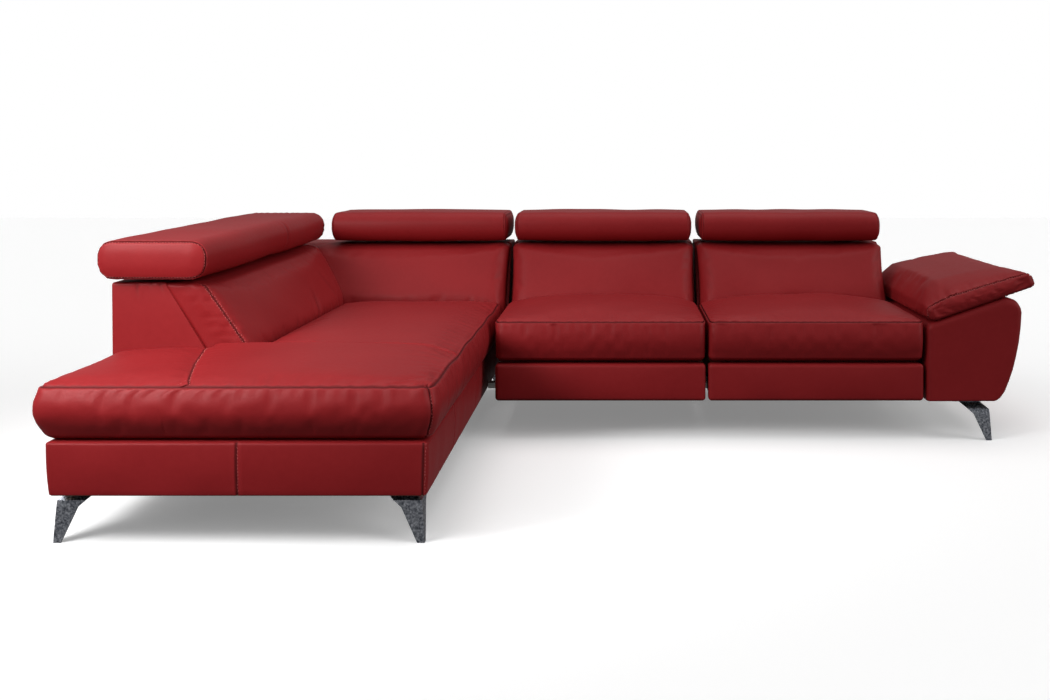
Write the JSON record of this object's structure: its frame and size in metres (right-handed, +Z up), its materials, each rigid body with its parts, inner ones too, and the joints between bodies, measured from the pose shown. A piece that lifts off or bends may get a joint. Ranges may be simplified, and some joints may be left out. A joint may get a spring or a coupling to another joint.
{
  "type": "corner sofa",
  "caption": "Leather corner sofa with an open-ended lounge, reclining seats with footrest panels, tilting headrests and a sloping arm pad that folds up",
  "frame": {"origin": "on the floor under the middle of the sofa's overall box", "axes": "+X to the right of someone facing the sofa, from the lounge towards the arm; +Y from the front to the back wall; +Z up"},
  "size_m": [2.9795, 2.0493, 0.7699],
  "materials": {
    "red_leather": "satin, fine grain",
    "frame_board": "raw beech plywood",
    "chrome_leg": "polished",
    "zinc_steel": "zinc plated",
    "spring_steel": "bare drawn wire",
    "rod_steel": "ground",
    "black_steel": "satin powder coat",
    "dust_cloth": "spun cloth",
    "black_plastic": "moulded, fine texture"
  },
  "bodies": {
    "sofa": {"lounge_base_frame": "frame_board", "lounge_base_cover": "red_leather", "lounge_dust_cloth": "dust_cloth", "lounge_seat_springs": "spring_steel", "lounge_seat_cushion": "red_leather", "lounge_back_frame": "frame_board", "lounge_back_cushion": "red_leather", "lounge_back_cover": "red_leather", "corner_back_frame": "frame_board", "corner_back_cushion": "red_leather", "corner_back_cover": "red_leather", "lounge_headrest_brackets": "black_steel", "arm_frame": "frame_board", "arm_cover": "red_leather", "arm_pad_brackets": "black_steel", "leg_front_left": "chrome_leg", "leg_front_inner": "chrome_leg", "leg_rear_left": "chrome_leg", "leg_rear_inner": "chrome_leg", "leg_arm_front": "chrome_leg", "leg_arm_rear": "chrome_leg", "leg_screws": "zinc_steel", "support_feet": "black_plastic", "module_brackets": "zinc_steel", "power_inlets": "black_plastic", "relax_base_frames": "black_steel", "relax_rear_panels": "red_leather", "relax_actuators": "black_steel"},
    "lounge_headrest": {"lounge_headrest_pad": "red_leather", "lounge_headrest_frame": "black_steel"},
    "corner_headrest": {"corner_headrest_pad": "red_leather", "corner_headrest_frame": "black_steel"},
    "folding_pad": {"arm_pad": "red_leather", "arm_pad_frame": "black_steel"},
    "relax_1_seat": {"relax_1_seat_frame": "frame_board", "relax_1_seat_springs": "spring_steel", "relax_1_seat_cushion": "red_leather", "relax_1_actuator_rod": "rod_steel"},
    "relax_1_rails": {"relax_1_footrest_rails": "black_steel"},
    "relax_1_panel": {"relax_1_footrest_board": "frame_board", "relax_1_footrest_pad": "red_leather"},
    "relax_1_back": {"relax_1_back_frame": "frame_board", "relax_1_back_cushion": "red_leather", "relax_1_back_cover": "red_leather", "relax_1_headrest_brackets": "black_steel"},
    "relax_1_headrest": {"relax_1_headrest_pad": "red_leather", "relax_1_headrest_frame": "black_steel"},
    "relax_2_seat": {"relax_2_seat_frame": "frame_board", "relax_2_seat_springs": "spring_steel", "relax_2_seat_cushion": "red_leather", "relax_2_actuator_rod": "rod_steel"},
    "relax_2_rails": {"relax_2_footrest_rails": "black_steel"},
    "relax_2_panel": {"relax_2_footrest_board": "frame_board", "relax_2_footrest_pad": "red_leather"},
    "relax_2_back": {"relax_2_back_frame": "frame_board", "relax_2_back_cushion": "red_leather", "relax_2_back_cover": "red_leather", "relax_2_headrest_brackets": "black_steel"},
    "relax_2_headrest": {"relax_2_headrest_pad": "red_leather", "relax_2_headrest_frame": "black_steel"}
  },
  "joints": [
    {"name": "lounge_headrest_tilt", "type": "hinge", "parent": "sofa", "child": "lounge_headrest", "pos_m": [-1.2235, 0.083, 0.7115], "axis": [0, 1, 0], "range_deg": [0, 80]},
    {"name": "corner_headrest_tilt", "type": "hinge", "parent": "sofa", "child": "corner_headrest", "pos_m": [-0.7785, 0.7585, 0.7115], "axis": [1, 0, 0], "range_deg": [0, 80]},
    {"name": "arm_pad_fold", "type": "hinge", "parent": "sofa", "child": "folding_pad", "pos_m": [1.136, 0.5185, 0.44524], "axis": [0, -1, 0], "range_deg": [0, 36]},
    {"name": "relax_1_seat_slide", "type": "slide", "parent": "sofa", "child": "relax_1_seat", "axis": [0, -1, 0], "range_m": [0, 0.15]},
    {"name": "relax_1_back_recline", "type": "hinge", "parent": "relax_1_seat", "child": "relax_1_back", "pos_m": [-0.034, 0.7, 0.335], "axis": [-1, 0, 0], "range_deg": [0, 25]},
    {"name": "relax_1_footrest_extend", "type": "slide", "parent": "relax_1_seat", "child": "relax_1_rails", "axis": [0, -1, 0], "range_m": [0, 0.25]},
    {"name": "relax_1_footrest_flip", "type": "hinge", "parent": "relax_1_rails", "child": "relax_1_panel", "pos_m": [-0.034, 0.141, 0.256], "axis": [-1, 0, 0], "range_deg": [0, 90]},
    {"name": "relax_1_headrest_tilt", "type": "hinge", "parent": "relax_1_back", "child": "relax_1_headrest", "pos_m": [-0.034, 0.7585, 0.7115], "axis": [1, 0, 0], "range_deg": [0, 80]},
    {"name": "relax_2_seat_slide", "type": "slide", "parent": "sofa", "child": "relax_2_seat", "axis": [0, -1, 0], "range_m": [0, 0.15]},
    {"name": "relax_2_back_recline", "type": "hinge", "parent": "relax_2_seat", "child": "relax_2_back", "pos_m": [0.724, 0.7, 0.335], "axis": [-1, 0, 0], "range_deg": [0, 25]},
    {"name": "relax_2_footrest_extend", "type": "slide", "parent": "relax_2_seat", "child": "relax_2_rails", "axis": [0, -1, 0], "range_m": [0, 0.25]},
    {"name": "relax_2_footrest_flip", "type": "hinge", "parent": "relax_2_rails", "child": "relax_2_panel", "pos_m": [0.724, 0.141, 0.256], "axis": [-1, 0, 0], "range_deg": [0, 90]},
    {"name": "relax_2_headrest_tilt", "type": "hinge", "parent": "relax_2_back", "child": "relax_2_headrest", "pos_m": [0.724, 0.7585, 0.7115], "axis": [1, 0, 0], "range_deg": [0, 80]}
  ],
  "couplings": [
    {"joint": "relax_1_back_recline", "follows": "relax_1_seat_slide", "rad_per_m": 2.9088},
    {"joint": "relax_1_footrest_extend", "follows": "relax_1_seat_slide", "ratio": 1.6666},
    {"joint": "relax_1_footrest_flip", "follows": "relax_1_seat_slide", "rad_per_m": 10.472},
    {"joint": "relax_2_back_recline", "follows": "relax_2_seat_slide", "rad_per_m": 2.9088},
    {"joint": "relax_2_footrest_extend", "follows": "relax_2_seat_slide", "ratio": 1.6666},
    {"joint": "relax_2_footrest_flip", "follows": "relax_2_seat_slide", "rad_per_m": 10.472}
  ]
}
